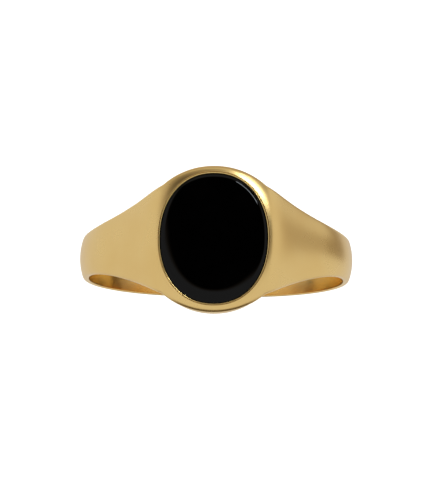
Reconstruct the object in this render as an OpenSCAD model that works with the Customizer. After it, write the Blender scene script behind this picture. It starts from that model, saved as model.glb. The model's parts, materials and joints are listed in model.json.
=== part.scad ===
// Signet ring: one gold casting whose head carries an oval black onyx tablet in a thin burnished collar.
// Frame: the finger bore runs along Y with its middle at the origin, and the face looks up +Z.

/* [Finger bore] */
// Diameter of the finger bore
bore_d = 19.2; // [18:0.1:20.4]

/* [Hoop] */
// Thickness of the hoop at the crown of its domed section
hoop_t = 0.7; // [0.6:0.05:0.9]
// How far the crown of the hoop stands above its side edges
hoop_dome = 0.3; // [0.1:0.05:0.4]
// Width of the hoop at the sides of the finger
side_w = 3.06; // [2.6:0.02:3.6]
// Width of the hoop at the back of the finger
back_w = 2.64; // [2:0.02:3.6]

/* [Head] */
// Length of the head along the finger
head_l = 10.8; // [10.6:0.1:11.2]
// Height of the face above the bore
face_h = 1.3; // [1.2:0.05:1.35]
// Degrees that the rim slopes beside the collar
rim_slope = 18; // [12:1:22]
// How many degrees steeper the rim grows for each millimetre outwards
rim_curve = 20; // [10:1:26]
// Fullness of every oval: 2 is a plain ellipse, more is squarer
fullness = 2.15; // [2:0.05:2.4]

/* [Shoulders] */
// Angle from the middle of the head at which the straight shoulders run into the hoop
shoulder_slope = 51.5; // [50.5:0.5:53]
// Distance from the middle of the head at which the shoulders start
shoulder_x = 3.89; // [3.6:0.01:4.1]
// Width of the ring where the shoulders start
shoulder_w = 8.05; // [7.9:0.01:8.3]
// Angle from the middle of the head at which the shoulders have become the hoop
shoulder_end = 83; // [76:1:90]
// How quickly the shoulders taper
taper = 2.17; // [1.9:0.01:2.6]
// How far the crown of the shoulders stands above their side edges
shoulder_dome = 0.7; // [0.5:0.05:0.8]

/* [Stone] */
// Length of the onyx tablet
stone_l = 9.62; // [9.3:0.02:9.7]
// Width of the onyx tablet
stone_w = 7.9; // [7.6:0.02:8]
// Thickness of the onyx tablet
stone_t = 1; // [0.9:0.05:1.1]
// Width of the polished bevel round the tablet
bevel_w = 0.8; // [0.5:0.05:1]
// Height of the polished bevel
bevel_h = 0.35; // [0.2:0.05:0.4]

/* [Setting] */
// Thickness of the collar wall round the tablet
collar_t = 0.08; // [0.06:0.01:0.12]
// How far the collar's lip is rubbed over the tablet's bevel
lip_cover = 0.04; // [0.02:0.01:0.08]
// Thickness of the ledge that the casting keeps above the bore
ledge_h = 0.25; // [0.22:0.01:0.3]
// Height of the bearer that the tablet sits on
bearer_h = 0.2; // [0.15:0.01:0.25]
// Width of the bearer
bearer_w = 0.55; // [0.4:0.05:0.8]
// Thickness of the plate that closes the underside of the head
plate_t = 0.2; // [0.15:0.01:0.21]

/* [Hidden] */
bore_r = bore_d / 2;
hoop_r = bore_r + hoop_t;
face_z = bore_r + face_h;
edge_drop = 0.2;
edge_z = face_z - edge_drop;        // height of the head's outer edge

// Levels of the setting, from the finger outwards
ledge_z = bore_r + ledge_h;
seat_z = ledge_z + bearer_h;
stone_top = seat_z + stone_t;
girdle_z = stone_top - bevel_h;
lip_drop = 0.02;                    // the lip ends just under the rim
lip_z = face_z - lip_drop;
gap = 0.01;                         // air between lip and bevel
groove = 0.05;                      // chamfer that leaves a fine line between collar and rim

// Half sizes of the ovals
girdle = [stone_w / 2, stone_l / 2];
collar = [girdle[0] + collar_t, girdle[1] + collar_t];
opening = [girdle[0] - lip_cover, girdle[1] - lip_cover];
window = [girdle[0] - bearer_w, girdle[1] - bearer_w];
table = [girdle[0] - bevel_w, girdle[1] - bevel_w];

// The end of the head is an arc that runs smoothly into the shoulders
arc_drop = (head_l - shoulder_w) / 2;
arc_r = (shoulder_x ^ 2 + arc_drop ^ 2) / (2 * arc_drop);
join_a = atan2(shoulder_x, edge_z);

// The rim is laid out as a stack of ovals that grow out from the collar
rim_reach = 1.2;
rim_steps = 5;
skirt_reach = 7;                    // past the rim the stack spreads wide and clears the shoulders
skirt_drop = 2;

oval_sides = 72;
across = 10;                        // strips across the hoop
fine_step = 3;                      // degrees between sections near the head
coarse_step = 6;                    // degrees between sections elsewhere
fine_to = 36;                       // where the sections change from fine to coarse
core_depth = 0.8;                   // the sections start inside the bore, which is cut afterwards
core_r = bore_r - core_depth;
bar_sides = 180;
clear = 1;                          // how far every cutting solid runs past what it cuts

function mix(from, to, share) = from + (to - from) * share;

// Angle from the middle of the head, 0 to 180
function turn(a) = a > 180 ? 360 - a : abs(a);

// Half the width of the ring at an angle: the arc of the head, then the taper, then the hoop
function half_w(a) =
    let (left = max(0, 1 - (a - join_a) / (shoulder_end - join_a)),
         band = mix(side_w, back_w, 1 - cos(max(0, a - 90))) / 2)
    a < join_a
        ? head_l / 2 - arc_r + sqrt(arc_r ^ 2 - (edge_z * tan(a)) ^ 2)
        : band + (shoulder_w / 2 - band) * left ^ taper;

// Radius of the crown line: straight shoulders, then the round of the hoop
function crown_r(a) = hoop_r / cos(max(0, shoulder_slope - a));

// How far the side edges lie under the crown
function dome(a) =
    mix(hoop_dome, shoulder_dome, min(1, max(0, 1 - (a - join_a) / (shoulder_end - join_a))) ^ 2);

// How far the rim has fallen at a distance out from the collar
function rim_fall(out) =
    ln(cos(rim_slope) / cos(rim_slope + rim_curve * out)) * 180 / (PI * rim_curve);

// One closed section through the hoop: inside edge, domed outside, inside edge
function section(a) =
    let (b = turn(a), w = half_w(b), crown = crown_r(b))
    concat(
        [[core_r, -w]],
        [for (j = [0:across]) let (t = 2 * j / across - 1) [crown - dome(b) * t ^ 2, w * t]],
        [[core_r, w]]);

// An outline of radius and Y, turned to its angle
function placed(a, outline) = [for (p = outline) [p[0] * sin(a), p[1], p[0] * cos(a)]];

// Points of a superellipse with the two half sizes
function oval(half) =
    [for (i = [0:oval_sides - 1])
        let (c = cos(360 * i / oval_sides), s = sin(360 * i / oval_sides))
        [half[0] * sign(c) * abs(c) ^ (2 / fullness), half[1] * sign(s) * abs(s) ^ (2 / fullness)]];

// Walls between rings of points, every ring n long; wrap closes the last ring onto the first
function walls(rings, n, wrap) =
    [for (i = [0:rings - (wrap ? 1 : 2)]) for (j = [0:n - 1])
        let (k = (i + 1) % rings, m = (j + 1) % n)
        each [[i * n + j, i * n + m, k * n + m], [i * n + j, k * n + m, k * n + j]]];

// Sections swept all the way round the finger
module hoop_and_shoulders() {
    angles = concat(
        [for (a = [-fine_to:fine_step:fine_to - fine_step]) a],
        [for (a = [fine_to:coarse_step:360 - fine_to - coarse_step]) a]);
    rings = [for (a = angles) placed(a, section(a))];
    polyhedron([for (r = rings) each r], walls(len(rings), across + 3, true));
}

// A stack of ovals, each level given as its height and its half sizes
module oval_stack(levels) {
    points = [for (l = levels) for (p = oval(l[1])) [p[0], p[1], l[0]]];
    last = (len(levels) - 1) * oval_sides;
    polyhedron(points, concat(
        [for (f = walls(len(levels), oval_sides, false)) [f[2], f[1], f[0]]],
        [[for (j = [0:oval_sides - 1]) j]],
        [[for (j = [oval_sides - 1:-1:0]) last + j]]));
}

// A straight oval prism between two heights
module oval_block(half, from, to) {
    translate([0, 0, from])
        linear_extrude(to - from)
            polygon(oval(half));
}

// A round bar along the finger bore
module round_bar(r) {
    rotate([90, 0, 0])
        cylinder(r = r, h = head_l + 2 * clear, center = true, $fn = bar_sides);
}

// Everything that lies under the sloping rim
module under_rim() {
    wide = collar + [skirt_reach, skirt_reach];
    oval_stack(concat(
        [[-hoop_r - clear, wide], [face_z - skirt_drop, wide]],
        [for (i = [rim_steps:-1:0])
            let (out = rim_reach * i / rim_steps)
            [face_z - rim_fall(out), collar + [out, out]]]));
}

module ring_body() {
    color("goldenrod")
        difference() {
            intersection() {
                hoop_and_shoulders();
                under_rim();
            }
            round_bar(bore_r);
            oval_block(collar, ledge_z, face_z + clear);
            oval_block(window, bore_r - 2 * clear, ledge_z + clear);
        }
}

module backing_plate() {
    color("darkgoldenrod")
        difference() {
            intersection() {
                round_bar(bore_r + plate_t);
                oval_block(window, 0, face_z);
            }
            round_bar(bore_r);
        }
}

module bearer_ring() {
    color("khaki")
        difference() {
            oval_block(girdle, ledge_z, seat_z);
            oval_block(window, ledge_z - clear, seat_z + clear);
        }
}

module setting_cement() {
    color("dimgray")
        difference() {
            oval_block(window, bore_r - 2 * clear, seat_z);
            round_bar(bore_r + plate_t);
        }
}

module onyx_tablet() {
    color("black")
        oval_stack([[seat_z, girdle], [girdle_z, girdle], [stone_top, table]]);
}

module bezel_collar() {
    lip_foot = girdle_z + gap;
    lip_edge = lip_foot + lip_cover * bevel_h / bevel_w;
    color("gold")
        difference() {
            oval_stack([
                [ledge_z, collar],
                [lip_z - groove, collar],
                [lip_z, collar - [groove, groove]]]);
            oval_stack([
                [ledge_z - clear, girdle],
                [lip_foot, girdle],
                [lip_edge, opening],
                [lip_z + clear, opening]]);
        }
}

ring_body();
backing_plate();
bearer_ring();
setting_cement();
onyx_tablet();
bezel_collar();
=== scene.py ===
import json
import math

import bmesh
import bpy
import numpy as np
from mathutils import Matrix, Vector


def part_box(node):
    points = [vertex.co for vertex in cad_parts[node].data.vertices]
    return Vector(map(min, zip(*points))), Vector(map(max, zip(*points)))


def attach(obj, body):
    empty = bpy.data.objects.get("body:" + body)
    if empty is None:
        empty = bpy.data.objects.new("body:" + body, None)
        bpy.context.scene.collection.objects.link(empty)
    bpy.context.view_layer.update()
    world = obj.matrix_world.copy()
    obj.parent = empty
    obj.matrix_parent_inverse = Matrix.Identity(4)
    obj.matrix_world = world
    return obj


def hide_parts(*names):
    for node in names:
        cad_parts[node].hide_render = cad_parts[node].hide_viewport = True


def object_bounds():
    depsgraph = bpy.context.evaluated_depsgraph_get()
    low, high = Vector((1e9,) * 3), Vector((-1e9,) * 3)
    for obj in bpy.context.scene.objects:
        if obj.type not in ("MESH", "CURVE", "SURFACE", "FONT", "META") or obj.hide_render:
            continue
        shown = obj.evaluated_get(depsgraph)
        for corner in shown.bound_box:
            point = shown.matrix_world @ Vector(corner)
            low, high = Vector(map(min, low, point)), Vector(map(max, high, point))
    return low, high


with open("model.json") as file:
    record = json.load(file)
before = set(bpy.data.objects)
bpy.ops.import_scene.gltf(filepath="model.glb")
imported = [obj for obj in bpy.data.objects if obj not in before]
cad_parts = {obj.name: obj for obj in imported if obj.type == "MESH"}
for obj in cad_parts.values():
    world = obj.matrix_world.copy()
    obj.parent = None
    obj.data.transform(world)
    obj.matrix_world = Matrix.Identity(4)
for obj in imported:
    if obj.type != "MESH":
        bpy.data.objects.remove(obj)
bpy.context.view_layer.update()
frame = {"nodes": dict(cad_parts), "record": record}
print("frame loaded:", ", ".join(sorted(frame["nodes"])))

# everything below is worked out in millimetres and scaled when a mesh is made
mm = 0.001


def inMillimetres(node):
    low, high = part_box(node)
    return np.array(low) / mm, np.array(high) / mm


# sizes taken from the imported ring
boreMount = next(m for m in frame["record"]["mounts"] if m["name"] == "finger_bore")
boreRadius = boreMount["dims"]["r_mm"]
bodyHigh = inMillimetres("ring_body")[1]
stoneLow, stoneHigh = inMillimetres("onyx_tablet")
collarLow, collarHigh = inMillimetres("bezel_collar")
plateHigh = inMillimetres("backing_plate")[1]
hoopRadius = bodyHigh[0]
headHalf = bodyHigh[1]
faceZ = bodyHigh[2]


def blankTree(name):
    mat = bpy.data.materials.new(name)
    mat.use_nodes = True
    mat.node_tree.nodes.clear()
    return mat, mat.node_tree


def finishTree(tree, shader):
    out = tree.nodes.new("ShaderNodeOutputMaterial")
    tree.links.new(shader.socket, out.inputs["Surface"])


class Wire:
    # one output socket that can be used in a Python expression
    def __init__(self, tree, socket):
        self.tree = tree
        self.socket = socket

    def maths(self, operation, *values):
        made = self.tree.nodes.new("ShaderNodeMath")
        made.operation = operation
        for slot, value in zip(made.inputs, values):
            plug(self.tree, slot, value)
        return Wire(self.tree, made.outputs[0])

    def __add__(self, other):
        return self.maths("ADD", self, other)

    def __radd__(self, other):
        return self.maths("ADD", other, self)

    def __sub__(self, other):
        return self.maths("SUBTRACT", self, other)

    def __rsub__(self, other):
        return self.maths("SUBTRACT", other, self)

    def __mul__(self, other):
        return self.maths("MULTIPLY", self, other)

    def __rmul__(self, other):
        return self.maths("MULTIPLY", other, self)

    def __pow__(self, other):
        return self.maths("POWER", self, other)

    def over(self, low, high):
        # soft step from 0 at low to 1 at high
        return addNode(self.tree, "MapRange", {"interpolation_type": "SMOOTHSTEP"},
                       Value=self, From_Min=low, From_Max=high)


def plug(tree, slot, value):
    if isinstance(value, Wire):
        tree.links.new(value.socket, slot)
    else:
        slot.default_value = value


def addNode(tree, kind, settings=None, **inputs):
    # settings are the node's own choices, and "out" is the output to use
    settings = dict(settings or {})
    out = settings.pop("out", 0)
    made = tree.nodes.new("ShaderNode" + kind)
    for key, value in settings.items():
        setattr(made, key, value)
    for key, value in inputs.items():
        plug(tree, made.inputs[key.replace("_", " ")], value)
    return Wire(tree, made.outputs[out])


weld = 2e-4 * mm       # points closer than this are made one


def makePiece(name, points, quads, material):
    mesh = bpy.data.meshes.new(name)
    mesh.from_pydata([tuple(p) for p in np.asarray(points) * mm], [], [tuple(q) for q in quads])
    build = bmesh.new()
    build.from_mesh(mesh)
    bmesh.ops.remove_doubles(build, verts=build.verts, dist=weld)
    bmesh.ops.dissolve_degenerate(build, edges=build.edges, dist=weld / 10)
    bmesh.ops.recalc_face_normals(build, faces=build.faces)
    build.to_mesh(mesh)
    build.free()
    for face in mesh.polygons:
        face.use_smooth = True
    piece = bpy.data.objects.new(name, mesh)
    bpy.context.scene.collection.objects.link(piece)
    mesh.materials.append(material)
    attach(piece, "root")
    print(name, len(mesh.polygons), "faces")
    return piece


class Shell:
    # collects patches of quads; shared borders are welded when the piece is made
    def __init__(self):
        self.points = []
        self.quads = []

    def patch(self, grid, closed=False):
        # grid is rows of points; closed joins the last column to the first
        grid = np.asarray(grid, float)
        rows, columns = grid.shape[:2]
        start = len(self.points)
        self.points.extend(grid.reshape(-1, 3))
        for i in range(rows - 1):
            for j in range(columns if closed else columns - 1):
                k = (j + 1) % columns
                self.quads.append((start + i * columns + j, start + i * columns + k,
                                   start + (i + 1) * columns + k, start + (i + 1) * columns + j))

    def fan(self, loop, middle):
        # closes a loop with triangles to its middle
        start, count = len(self.points), len(loop)
        self.points.extend(loop)
        self.points.append(middle)
        self.quads.extend((start + j, start + (j + 1) % count, start + count) for j in range(count))

    def cap(self, loop):
        # closes a flat loop with rings shrinking to its middle
        middle = np.mean(loop, axis=0)
        rings = [middle + (loop - middle) * share for share in (1, 0.9, 0.75, 0.55, 0.35, 0.15)]
        self.patch(rings, closed=True)
        self.fan(rings[-1], middle)


fullness = 2.15        # the ovals are a little squarer than an ellipse


def oval(halfX, halfY, angles):
    c, s = np.cos(angles), np.sin(angles)
    x = halfX * np.sign(c) * np.abs(c) ** (2 / fullness)
    y = halfY * np.sign(s) * np.abs(s) ** (2 / fullness)
    return x, y


def ovalLoop(half, angles, z):
    x, y = oval(half[0], half[1], angles)
    return np.stack([x, y, np.broadcast_to(z, x.shape)], -1)


def outside(x, y, half):
    # distance of a point outside an oval, near enough close to it
    px, py = np.abs(x) / half[0], np.abs(y) / half[1]
    level = (px ** fullness + py ** fullness) ** (1 / fullness)
    gx = (px ** (fullness - 1)) * level ** (1 - fullness) / half[0]
    gy = (py ** (fullness - 1)) * level ** (1 - fullness) / half[1]
    return (level - 1) / np.maximum(np.hypot(gx, gy), 1e-9)


def softMin(p, q, soft):
    # the lower of two heights, with the corner between them rounded
    return np.minimum(p, q) - np.maximum(soft - np.abs(p - q), 0) ** 2 / (4 * soft)


def search(low, high, isShort):
    # halves the span again and again to find where isShort turns false
    for _ in range(40):
        middle = (low + high) / 2
        short = isShort(middle)
        low, high = np.where(short, middle, low), np.where(short, high, middle)
    return low


def rounded(start, corner, end, steps):
    # points along a curve that eases start into end past the corner
    u = np.linspace(0, 1, steps)[:, None, None]
    return (1 - u) ** 2 * start + 2 * u * (1 - u) * corner + u ** 2 * end


body = dict(
    sideWidth=3.2, backWidth=2.88,        # hoop, at the sides and at the back of the finger
    hoopDome=0.29, shoulderDome=0.71,     # how far the crown stands above the side edges
    shoulderX=3.89, shoulderWidth=8.05,   # where the shoulders start
    shoulderEnd=83.1, taper=2.17,         # degrees at which they end, and how fast they taper
    shoulderSlope=51.5,                   # degrees at which their straight crown meets the hoop
    rimStart=18, rimRate=20, rimEnd=45,   # degrees of the rim's slope: at the groove, more per mm, and most
    blend=0.4,                            # softness where rim and shoulder meet
    edgeDrop=0.2,                         # how far the head's outer edge lies under the face
    groove=0.05, grooveDepth=0.12,        # fine line between rim and collar
    pocketGap=0.004,                      # air between the pocket's wall and the collar
    edgeRound=0.28, innerRound=0.08,      # rounding of the outer and inner edges
    patchEnd=38,                          # degrees at which the head's mesh meets the hoop's
    cornerTurn=40,                        # where the head mesh's corners lie round the ovals, in degrees
    boreRings=13,
    around=58, across=28, rings=30, hoopSteps=146)

edgeZ = faceZ - body["edgeDrop"]
arcDrop = headHalf - body["shoulderWidth"] / 2
arcRadius = (body["shoulderX"] ** 2 + arcDrop ** 2) / (2 * arcDrop)
joinAngle = math.atan2(body["shoulderX"], edgeZ)
endAngle = math.radians(body["shoulderEnd"])
slopeAngle = math.radians(body["shoulderSlope"])
collarHalf = collarHigh[:2]
mouth = collarHalf + body["groove"]


def leftOf(a):
    # share of the shoulder still to come: 1 at the head, 0 on the hoop
    return np.clip(1 - (np.abs(a) - joinAngle) / (endAngle - joinAngle), 0, 1)


def halfWidth(a):
    a = np.abs(a)
    narrow = np.where(a > math.pi / 2, 1 - np.cos(np.maximum(a - math.pi / 2, 0)), 0)
    band = (body["sideWidth"] + (body["backWidth"] - body["sideWidth"]) * narrow) / 2
    shoulder = band + (body["shoulderWidth"] / 2 - band) * leftOf(a) ** body["taper"]
    x = edgeZ * np.tan(np.minimum(a, joinAngle))
    return np.where(a < joinAngle, headHalf - arcRadius + np.sqrt(arcRadius ** 2 - x ** 2), shoulder)


def skinRadius(a, y):
    # straight shoulders that run into the round hoop, domed across
    crown = hoopRadius / np.cos(np.maximum(slopeAngle - np.abs(a), 0))
    dome = body["hoopDome"] + (body["shoulderDome"] - body["hoopDome"]) * leftOf(a) ** 2
    return crown - dome * (y / halfWidth(a)) ** 2


def rimZ(x, y):
    # the rim falls away from the groove, steeper and steeper
    away = np.maximum(outside(x, y, mouth), 0)
    start, rate, end = (math.radians(body[k]) for k in ("rimStart", "rimRate", "rimEnd"))
    steep = np.minimum(start + rate * away, end)
    past = np.maximum(away - (end - start) / rate, 0)
    return faceZ - np.log(math.cos(start) / np.cos(steep)) / rate - past * math.tan(end)


def skinZ(x, y):
    # height of the outside over a point of the plan
    a = search(np.zeros_like(x), np.full_like(x, math.pi / 3),
               lambda turn: skinRadius(turn, y) * np.sin(turn) < np.abs(x))
    return softMin(rimZ(x, y), skinRadius(a, y) * np.cos(a), body["blend"])


def edgePoint(a, inset, side):
    # point of the outside at an angle, moved in from the side face
    y = side * (halfWidth(a) - inset)
    r = search(np.full_like(a, boreRadius), np.full_like(a, faceZ * 1.3),
               lambda radius: skinZ(radius * np.sin(a), y) > radius * np.cos(a))
    return np.stack([r * np.sin(a), y, r * np.cos(a)], -1)


def borePlan(points):
    # lifts points of the plan onto the bore
    lifted = points.copy()
    lifted[:, 2] = np.sqrt(boreRadius ** 2 - lifted[:, 0] ** 2)
    return lifted


def borePoint(a, y):
    return np.stack([boreRadius * np.sin(a), y + 0 * a, boreRadius * np.cos(a)], -1)


def ringBody():
    shell = Shell()
    e, inner = body["edgeRound"], body["innerRound"]
    patchEnd = math.radians(body["patchEnd"])
    alongHead = np.linspace(-patchEnd, patchEnd, body["around"] * 2 + 1)
    hoop = np.linspace(patchEnd, 2 * math.pi - patchEnd, body["hoopSteps"] + 1)
    hoop = np.where(hoop > math.pi, hoop - 2 * math.pi, hoop)
    strip = np.linspace(-1, 1, body["across"] + 1)

    def acrossSkin(a):
        y = strip * (halfWidth(a) - e)
        r = skinRadius(a, y)
        return np.stack([r * np.sin(a), y, r * np.cos(a)], -1)

    # border of the head patch, anticlockwise from the +X side's lower corner
    def border(side, alongEdge):
        right, left = side(patchEnd), side(-patchEnd)
        return np.concatenate([right[:-1], alongEdge(alongHead[::-1], 1)[:-1],
                               left[::-1][:-1], alongEdge(alongHead, -1)[:-1]])

    def outerEdge(a, side):
        return edgePoint(a, e, side)

    def innerEdge(a, side):
        return borePoint(a, side * (halfWidth(a) - inner))

    outerLoop = border(acrossSkin, outerEdge)
    innerLoop = border(lambda a: borePoint(a + 0 * strip, strip * (halfWidth(a) - inner)), innerEdge)

    # angles round the ovals, spread as the border's four sides are
    corner = math.radians(body["cornerTurn"])
    ovalAngles = np.concatenate([
        np.linspace(-corner, corner, body["across"] + 1)[:-1],
        np.linspace(corner, math.pi - corner, len(alongHead))[:-1],
        np.linspace(math.pi - corner, math.pi + corner, body["across"] + 1)[:-1],
        np.linspace(math.pi + corner, 2 * math.pi - corner, len(alongHead))[:-1]])

    # outside of the head: rings from the groove out to the border, closer near the rim
    start = ovalLoop(mouth, ovalAngles, 0)[:, :2]
    reach = np.linalg.norm(outerLoop[:, :2] - start, axis=1)
    power = 1 + 0.9 * np.clip(reach - 0.3, 0, 1)
    skin = []
    for u in np.linspace(0, 1, body["rings"] + 1)[:-1]:
        plan = start + (outerLoop[:, :2] - start) * (u ** power)[:, None]
        skin.append(np.stack([plan[:, 0], plan[:, 1], skinZ(plan[:, 0], plan[:, 1])], -1))
    skin.append(outerLoop)
    shell.patch(skin, closed=True)
    shell.patch([acrossSkin(a) for a in hoop])

    # groove and pocket, then the ledge and the window down to the bore
    top = skin[0]
    pocketHalf, windowHalf = collarHalf + body["pocketGap"], plateHigh[:2]
    dip = ovalLoop(pocketHalf, ovalAngles, top[:, 2] - body["grooveDepth"])
    bend = top * 0.3 + dip * 0.7 - [0, 0, 0.01]      # the groove curves in on its way down
    ledge = ovalLoop(pocketHalf, ovalAngles, collarLow[2])
    brink = ovalLoop(windowHalf, ovalAngles, collarLow[2])
    windowEnd = borePlan(ovalLoop(windowHalf, ovalAngles, 0))
    shell.patch([top, bend, dip, ledge, brink, (brink + windowEnd) / 2, windowEnd], closed=True)

    # inside of the head and of the hoop
    bore = [borePlan(windowEnd + (innerLoop - windowEnd) * u) for u in np.linspace(0, 1, body["boreRings"])]
    bore[-1] = innerLoop
    shell.patch(bore, closed=True)
    shell.patch([borePoint(a + 0 * strip, strip * (halfWidth(a) - inner)) for a in hoop])

    # side faces with both their edges rounded
    for side in (-1, 1):
        for a, onHead in ((alongHead, True), (hoop, False)):
            y = halfWidth(a)
            if onHead:
                first = outerEdge(a, side)
                sharp = edgePoint(a, 0, side)
            else:
                r = skinRadius(a, y - e)
                first = np.stack([r * np.sin(a), side * (y - e), r * np.cos(a)], -1)
                r = skinRadius(a, y)
                sharp = np.stack([r * np.sin(a), side * y, r * np.cos(a)], -1)
            foot = borePoint(a, side * y)
            down = foot - sharp
            height = np.linalg.norm(down, axis=1, keepdims=True)
            down = down / height
            under = sharp + down * np.minimum(e, height * 0.45)
            over = foot - down * np.minimum(inner, height * 0.3)
            face = [under + (over - under) * u for u in (0.1, 0.35, 0.65, 0.9)]
            shell.patch(np.concatenate([
                rounded(first, sharp, under, 7), face, rounded(over, foot, innerEdge(a, side), 5)]))
    return shell


setting = dict(
    lipCover=0.04, lipRound=0.03,       # how far the lip covers the stone, and how soft it is
    steps=208,                          # points round every oval
    edgeReach=1.25, edgeDrop=0.2,       # how far in the stone's top starts to fall, and how far it falls
    cornerReach=0.38, cornerDrop=0.1)   # the same for the small corner under the lip

roundAngles = np.linspace(0, 2 * math.pi, setting["steps"], endpoint=False)


def lathe(profile, closed=False):
    # profile is a list of (how far outside the girdle, height)
    shell = Shell()
    loops = [ovalLoop(stoneHigh[:2] + out, roundAngles, z) for out, z in profile]
    if closed:
        loops.append(loops[0])
    shell.patch(loops, closed=True)
    return shell, loops


def stoneTop(inset):
    fall = sum(setting[part + "Drop"] * np.maximum(1 - inset / setting[part + "Reach"], 0) ** 2
               for part in ("edge", "corner"))
    return stoneHigh[2] - fall


def onyxTablet():
    bottom = stoneLow[2]
    soft = 0.04
    profile = [(-soft, bottom), (-soft * 0.3, bottom + soft * 0.3), (0, bottom + soft),
               (0, stoneTop(0) - soft), (-soft * 0.2, stoneTop(0) - soft * 0.1)]
    profile += [(-inset, stoneTop(inset)) for inset in soft + 1.5 * np.linspace(0, 1, 38) ** 1.6]
    shell, loops = lathe(profile)
    shell.cap(loops[0])
    shell.cap(loops[-1])
    return shell


def bezelCollar():
    # the wall stands straight, and its lip leans in over the stone's edge
    thick = collarHalf[0] - stoneHigh[0]
    bottom, top = collarLow[2], collarHigh[2]
    cover, soft = setting["lipCover"], setting["lipRound"]
    tip = stoneTop(cover) + 0.012
    profile = [(thick, bottom), (thick, top - soft * 1.6), (thick - soft * 0.1, top - soft * 0.9),
               (thick - soft * 0.35, top - soft * 0.35), (thick - soft * 0.8, top - soft * 0.05),
               (thick - soft * 1.2, top)]
    crest = thick - soft * 1.2
    for u in (0.25, 0.5, 0.75, 0.92):
        profile.append((crest - (crest + cover) * u, top - (top - tip - 0.012) * u ** 1.6))
    profile += [(-cover, tip + 0.006), (-cover + 0.006, tip), (0.006, stoneTop(0) + 0.004), (0.006, bottom)]
    return lathe(profile, closed=True)[0]


plate = dict(gap=0.004, soft=0.03)      # air round it, and its soft edge where it is soldered in


def backingPlate():
    # a thin sheet curved to the bore
    shell = Shell()
    half, top, soft = plateHigh[:2] - plate["gap"], plateHigh[2], plate["soft"]

    def loop(halfSizes, radius):
        p = ovalLoop(halfSizes, roundAngles, 0)
        p[:, 2] = np.sqrt(radius ** 2 - p[:, 0] ** 2)
        return p

    shares = (1, 0.97, 0.9, 0.8, 0.65, 0.5, 0.35, 0.2, 0.08)
    for radius in (boreRadius, top):
        rows = [loop((half - soft) * share, radius) for share in shares]
        shell.patch(rows, closed=True)
        shell.fan(rows[-1], np.array([0, 0, radius]))
    shell.patch([loop(half - inset, radius) for inset, radius in (
        (soft, boreRadius), (soft * 0.3, boreRadius + soft * 0.3), (0, boreRadius + soft),
        (0, top - soft), (soft, top))], closed=True)
    return shell


gold = dict(
    colour=(0.9, 0.64, 0.255), deep=(0.86, 0.58, 0.21), polished=(0.92, 0.67, 0.26),
    satin=0.28, satinSpread=0.05, grainSpread=0.015,     # roughness and how much it wanders
    polish=0.16, polishSpread=0.1,
    satinBump=0.035, polishBump=0.1, bumpDepth=0.00001)


def blend(tree, share, first, second):
    return addNode(tree, "Mix", {"data_type": "RGBA", "out": 2}, Factor=share, A=(*first, 1), B=(*second, 1))


def goldSatin():
    mat, tree = blankTree("goldSatin")
    place = addNode(tree, "TexCoord", {"out": 3})
    cloud = addNode(tree, "TexNoise", None, Vector=place, Scale=260, Detail=3, Roughness=0.55)
    grain = addNode(tree, "TexNoise", None, Vector=place, Scale=5200, Detail=4, Roughness=0.65)
    stretch = addNode(tree, "Mapping", None, Vector=place, Scale=(900, 9000, 900))
    brushing = addNode(tree, "TexNoise", None, Vector=stretch, Scale=1, Detail=3, Roughness=0.6)
    colour = blend(tree, cloud.over(0.35, 0.7) * 0.5, gold["colour"], gold["deep"])
    rough = gold["satin"] + gold["satinSpread"] * (cloud - 0.5) + gold["grainSpread"] * (grain - 0.5)
    bump = addNode(tree, "Bump", None, Strength=gold["satinBump"], Distance=gold["bumpDepth"],
                   Height=grain * 0.5 + brushing * 0.5)
    shader = addNode(tree, "BsdfPrincipled", None, Base_Color=colour, Metallic=1.0, Roughness=rough,
                     Normal=bump)
    finishTree(tree, shader)
    return mat


def goldPolished():
    mat, tree = blankTree("goldPolished")
    place = addNode(tree, "TexCoord", {"out": 3})
    stretch = addNode(tree, "Mapping", None, Vector=place, Scale=(500, 7000, 500))
    streak = addNode(tree, "TexNoise", None, Vector=stretch, Scale=1, Detail=3, Roughness=0.6)
    cloud = addNode(tree, "TexNoise", None, Vector=place, Scale=420, Detail=3, Roughness=0.5)
    rough = gold["polish"] + gold["polishSpread"] * cloud.over(0.4, 0.75)
    bump = addNode(tree, "Bump", None, Strength=gold["polishBump"], Distance=gold["bumpDepth"], Height=streak)
    colour = blend(tree, cloud.over(0.3, 0.8) * 0.4, gold["polished"], gold["deep"])
    shader = addNode(tree, "BsdfPrincipled", None, Base_Color=colour, Metallic=1.0, Roughness=rough,
                     Normal=bump)
    finishTree(tree, shader)
    return mat


stone = dict(black=(0.0003, 0.0003, 0.0003), brown=(0.0008, 0.0006, 0.0006),
             rough=0.03, roughSpread=0.04, ior=1.54, specular=0.15)


def onyxPolish():
    mat, tree = blankTree("onyxPolish")
    place = addNode(tree, "TexCoord", {"out": 3})
    cloud = addNode(tree, "TexNoise", None, Vector=place, Scale=300, Detail=4, Roughness=0.6)
    colour = blend(tree, cloud.over(0.45, 0.75), stone["black"], stone["brown"])
    rough = stone["rough"] + stone["roughSpread"] * cloud.over(0.5, 0.8)
    shader = addNode(tree, "BsdfPrincipled", None, Base_Color=colour, Roughness=rough, IOR=stone["ior"],
                     Specular_IOR_Level=stone["specular"])
    finishTree(tree, shader)
    return mat


def cementDull():
    mat, tree = blankTree("cementDull")
    place = addNode(tree, "TexCoord", {"out": 3})
    grain = addNode(tree, "TexNoise", None, Vector=place, Scale=3000, Detail=5, Roughness=0.7)
    colour = blend(tree, grain, (0.03, 0.026, 0.022), (0.09, 0.08, 0.07))
    bump = addNode(tree, "Bump", None, Strength=0.4, Distance=0.00003, Height=grain)
    shader = addNode(tree, "BsdfPrincipled", None, Base_Color=colour, Roughness=0.8 + 0.1 * grain,
                     Normal=bump)
    finishTree(tree, shader)
    return mat


satin, polished = goldSatin(), goldPolished()
onyx, cement = onyxPolish(), cementDull()
print("finishes made")


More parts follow.
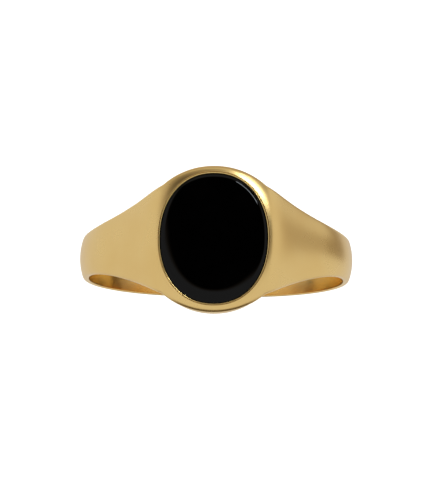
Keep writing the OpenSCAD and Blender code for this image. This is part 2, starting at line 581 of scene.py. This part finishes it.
def build(name, node, slot, shell, material):
    piece = makePiece(name, shell.points, shell.quads, material)
    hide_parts(node)
    return piece


ring = build("ringBody", "ring_body", "gold_satin", ringBody(), satin)
ring.data.materials.append(polished)
polishedTo = boreRadius + 0.004        # the bore is polished and the rest is satin
for face in ring.data.polygons:
    c = face.center / mm
    if math.hypot(c.x, c.z) < polishedTo:
        face.material_index = 1

build("onyxTablet", "onyx_tablet", "onyx", onyxTablet(), onyx)
build("bezelCollar", "bezel_collar", "gold_polished", bezelCollar(), polished)
build("backingPlate", "backing_plate", "gold_polished", backingPlate(), polished)
for node, material in (("bearer_ring", polished), ("setting_cement", cement)):
    frame["nodes"][node].data.materials.clear()
    frame["nodes"][node].data.materials.append(material)


studio = dict(
    floorSize=0.6, floorGlow=0.85, floorColour=(0.9, 0.9, 0.9),
    wallRadius=2.5, wallRows=12, wallColumns=24,
    fill=0.72, shade=(1, 0.72, 0.42),             # brightness all round, and tint of the room's dark parts
    cardX=0.25, cardY=0.55,                       # dark card over the stone: its direction
    cardAcross=0.85, cardAlong=0.6,               # and its half sizes
    keyAzimuth=54, keyElevation=43, keyGlow=16, keyColour=(0.86, 0.93, 1),
    keyDistance=0.35, keySize=(0.14, 0.042))

# The room's dark parts. Each keeps a share of the light, and is the product of soft steps along a direction:
# x to the right, y away behind the ring, z up, aside = x squared, swing = y leaning a little with x,
# card = distance from the middle of the dark card in card sizes. Spare steps are left out of the part.
shades = dict(
    card=dict(
        keep=0,
        steps=[("card", 1.12, 0.88), ("z", 0.1, 0.3), ("y", 0.84, 0.68), ("x", 0.78, 0.62)]),
    front=dict(
        keep=0.12,
        steps=[("y", -0.3, -0.6), ("aside", 0.5, 0.25), ("z", 0.38, 0.1), ("z", -0.8, -0.6)]),
    right=dict(
        keep=0.43,
        steps=[("swing", -0.02, 0.06), ("x", 0, 0.2), ("z", -0.76, -0.7), ("z", 0.08, -0.4)],
        spare=[("y", 0.26, 0.4), ("z", -0.6, -0.4)]),
    back=dict(
        keep=0.9,
        steps=[("y", 0.3, 0.6), ("z", 0.15, 0.4)]),
    lowBack=dict(
        keep=0.6,
        steps=[("y", 0.6, 0.85), ("z", 0.35, 0.1), ("z", -0.5, -0.3)]))

camera = dict(
    azimuth=6.507, elevation=81.07, roll=5.86,    # direction, and turn about the line of sight
    distance=262, lens=260.79, sensor=36,
    aimRight=-0.015, aimUp=1.606,                 # how far past the bore's middle it looks
    near=0.01, far=10)                            # metres


def makeStage(name, points, faces, glow):
    # seen by the camera, but not mirrored in the gold
    mesh = bpy.data.meshes.new(name)
    mesh.from_pydata(points, [], faces)
    stage = bpy.data.objects.new(name, mesh)
    bpy.context.scene.collection.objects.link(stage)
    mat, tree = blankTree(name)
    diffuse = addNode(tree, "BsdfDiffuse", None, Color=(*studio["floorColour"], 1))
    light = addNode(tree, "Emission", None, Color=(1, 1, 1, 1), Strength=glow)
    both = tree.nodes.new("ShaderNodeAddShader")
    tree.links.new(diffuse.socket, both.inputs[0])
    tree.links.new(light.socket, both.inputs[1])
    finishTree(tree, Wire(tree, both.outputs[0]))
    mesh.materials.append(mat)
    stage.visible_glossy = False
    return stage


def makeFloor():
    low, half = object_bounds()[0].z, studio["floorSize"]
    corners = [(-half, -half, low), (half, -half, low), (half, half, low), (-half, half, low)]
    makeStage("floor", corners, [(0, 1, 2, 3)], studio["floorGlow"])


def makeWall():
    # a plain pale dome that closes the room behind the floor
    rows, columns, radius = (studio[k] for k in ("wallRows", "wallColumns", "wallRadius"))
    points = []
    for i in range(rows + 1):
        up = math.pi * (i / rows - 0.5)
        for j in range(columns):
            turn = 2 * math.pi * j / columns
            points.append((radius * math.cos(up) * math.cos(turn), radius * math.cos(up) * math.sin(turn),
                           radius * math.sin(up)))
    faces = [(i * columns + j, i * columns + (j + 1) % columns,
              (i + 1) * columns + (j + 1) % columns, (i + 1) * columns + j)
             for i in range(rows) for j in range(columns)]
    wall = makeStage("wall", points, faces, 1)
    wall.visible_diffuse = False
    wall.visible_shadow = False


def makeWorld():
    world = bpy.data.worlds.new("studio")
    bpy.context.scene.world = world
    world.use_nodes = True
    tree = world.node_tree
    tree.nodes.clear()
    direction = addNode(tree, "TexCoord", {"out": 0})
    parts = tree.nodes.new("ShaderNodeSeparateXYZ")
    tree.links.new(direction.socket, parts.inputs[0])
    x, y, z = (Wire(tree, parts.outputs[i]) for i in range(3))
    fromCard = (((x - studio["cardX"]) * (1 / studio["cardAcross"])) ** 2
                + ((y - studio["cardY"]) * (1 / studio["cardAlong"])) ** 2) ** 0.5
    along = dict(x=x, y=y, z=z, aside=x * x, swing=y - 0.05 * x, card=fromCard)

    def product(steps):
        masks = [along[axis].over(start, end) for axis, start, end in steps]
        return math.prod(masks[1:], start=masks[0])

    light = studio["fill"]
    for part in shades.values():
        mask = product(part["steps"])
        if "spare" in part:
            mask = mask * (1 - product(part["spare"]))
        light = light * (1 - (1 - part["keep"]) * mask)
    tint = addNode(tree, "Mix", {"data_type": "RGBA", "out": 2}, Factor=light * (1 / studio["fill"]),
                   A=(*studio["shade"], 1), B=(1, 1, 1, 1))
    glow = addNode(tree, "Background", None, Color=tint, Strength=light)
    out = tree.nodes.new("ShaderNodeOutputWorld")
    tree.links.new(glow.socket, out.inputs["Surface"])


def makeKey():
    # a rectangular soft box that faces the ring; its glow is how bright its face is
    width, height = studio["keySize"]
    data = bpy.data.lights.new("keyRight", "AREA")
    data.shape = "RECTANGLE"
    data.size, data.size_y = width, height
    data.energy = studio["keyGlow"] * math.pi * width * height
    data.color = studio["keyColour"]
    lamp = bpy.data.objects.new("keyRight", data)
    a, e = math.radians(studio["keyAzimuth"]), math.radians(studio["keyElevation"])
    away = Vector((math.cos(a) * math.cos(e), math.sin(a) * math.cos(e), math.sin(e)))
    lamp.location = away * studio["keyDistance"]
    lamp.rotation_mode = "QUATERNION"
    lamp.rotation_quaternion = away.to_track_quat("Z", "Y")
    lamp.visible_camera = False
    bpy.context.scene.collection.objects.link(lamp)


def makeCamera():
    data = bpy.data.cameras.new("camera")
    made = bpy.data.objects.new("camera", data)
    bpy.context.scene.collection.objects.link(made)
    bpy.context.scene.camera = made
    a, e, r = (math.radians(camera[k]) for k in ("azimuth", "elevation", "roll"))
    back = Vector((math.sin(a) * math.cos(e), -math.cos(a) * math.cos(e), math.sin(e)))
    level = Vector((math.cos(a), math.sin(a), 0))
    upright = back.cross(level)
    right = level * math.cos(r) - upright * math.sin(r)
    up = upright * math.cos(r) + level * math.sin(r)
    place = (back * camera["distance"] + right * camera["aimRight"] + up * camera["aimUp"]) * mm
    made.matrix_world = Matrix.Translation(place) @ Matrix((right, up, back)).transposed().to_4x4()
    data.sensor_width, data.lens = camera["sensor"], camera["lens"]
    data.clip_start, data.clip_end = camera["near"], camera["far"]


makeFloor()
makeWall()
makeWorld()
makeKey()
makeCamera()
bpy.context.scene.view_settings.view_transform = "Standard"
print("studio made")
